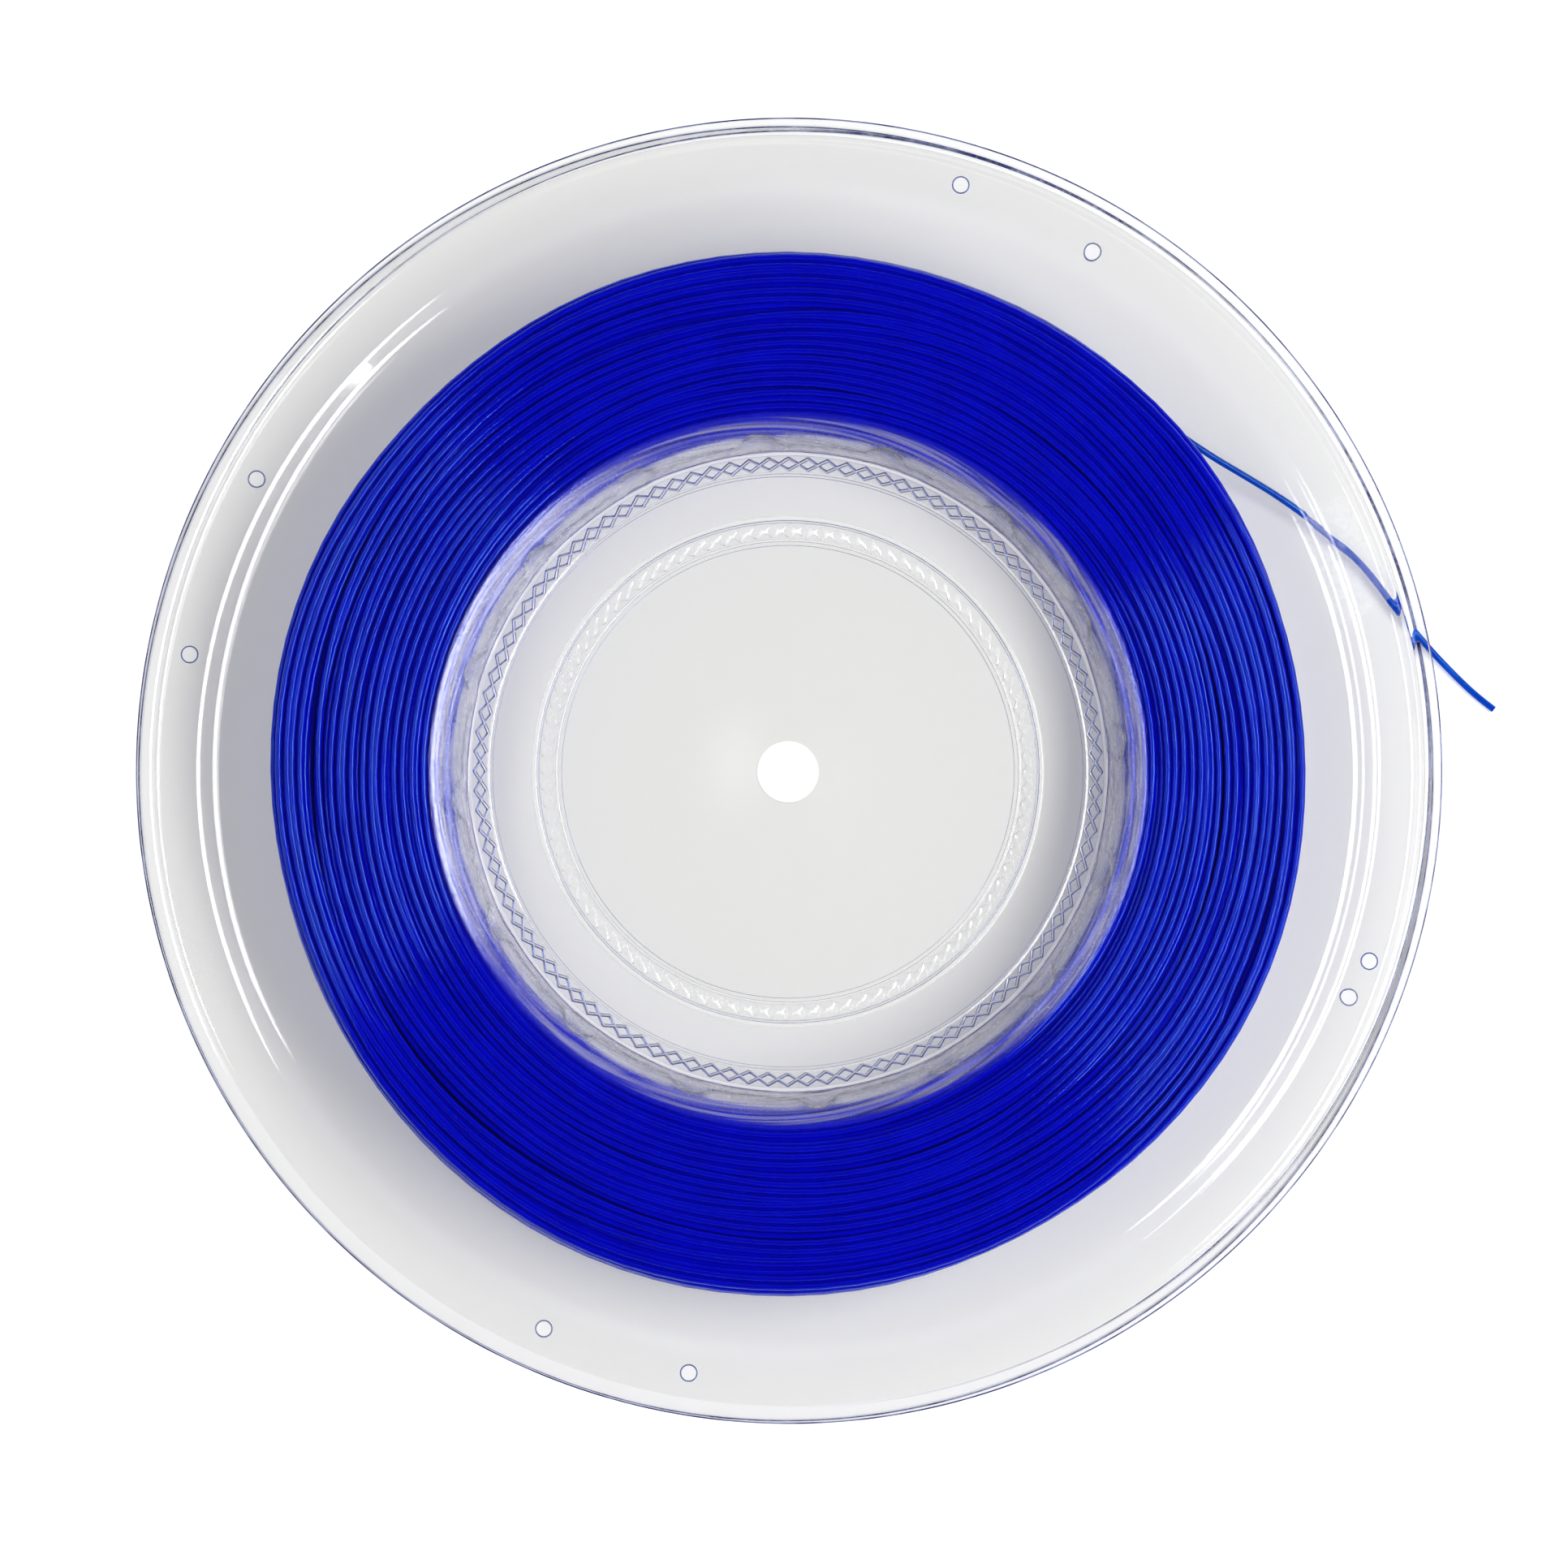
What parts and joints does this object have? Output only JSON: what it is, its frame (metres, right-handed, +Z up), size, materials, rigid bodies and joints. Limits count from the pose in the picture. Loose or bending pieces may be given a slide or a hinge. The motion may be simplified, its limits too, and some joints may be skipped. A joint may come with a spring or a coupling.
{
  "type": "string reel",
  "caption": "Clear plastic reel of blue racket string: two welded flanged shells, string wound between them, taped loose end, spindle hole.",
  "frame": {"origin": "on the reel's axis, at the table the reel lies on", "axes": "+Z up along the reel's axis; the loose string end leaves towards +X"},
  "size_m": [0.2516, 0.24, 0.0266],
  "materials": {
    "clear_sheet": "gloss, transparent",
    "blue_string": "gloss",
    "clear_tape": "gloss, transparent film"
  },
  "bodies": {
    "root": {"front_shell": "clear_sheet", "rear_shell": "clear_sheet", "string_winding": "blue_string", "string_tail": "blue_string", "tail_tape": "clear_tape"}
  },
  "joints": []
}
